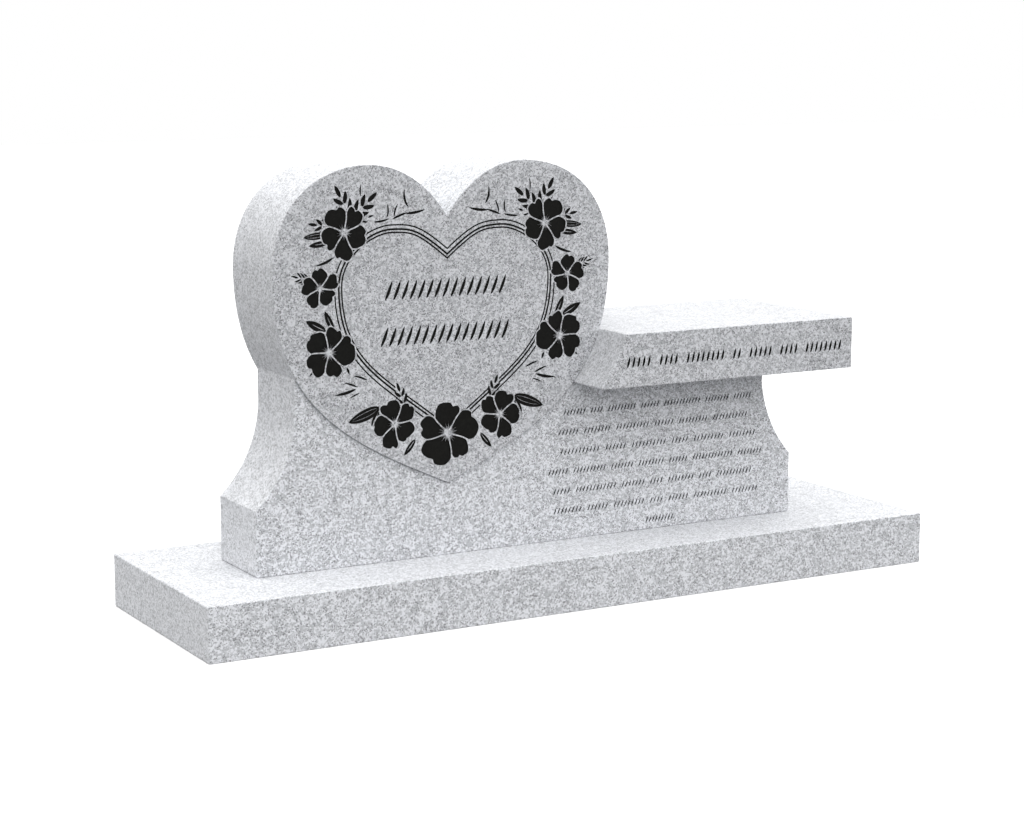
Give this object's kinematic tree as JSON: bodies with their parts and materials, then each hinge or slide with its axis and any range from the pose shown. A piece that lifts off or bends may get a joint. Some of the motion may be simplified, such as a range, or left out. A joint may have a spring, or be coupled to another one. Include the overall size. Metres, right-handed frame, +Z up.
{
  "type": "bench headstone",
  "caption": "Granite memorial: an upright heart with a carved wreath, cut in one with its pedestal, beside a cantilevered seat slab, all on a low base slab.",
  "frame": {"origin": "centre of the base slab's underside", "axes": "+X along the base from the heart towards the seat, -Y out of the carved front, +Z up"},
  "size_m": [1.528, 0.457, 0.8213],
  "materials": {
    "base_granite": "light grey fine-grained granite, steeled top and honed sides",
    "heart_granite": "light grey fine-grained granite, polished front and back, carving filled near black",
    "seat_granite": "light grey fine-grained granite, polished top and front, carving filled near black"
  },
  "bodies": {
    "root": {"base_slab": "base_granite", "heart_and_pedestal": "heart_granite", "seat_slab": "seat_granite"}
  },
  "joints": []
}
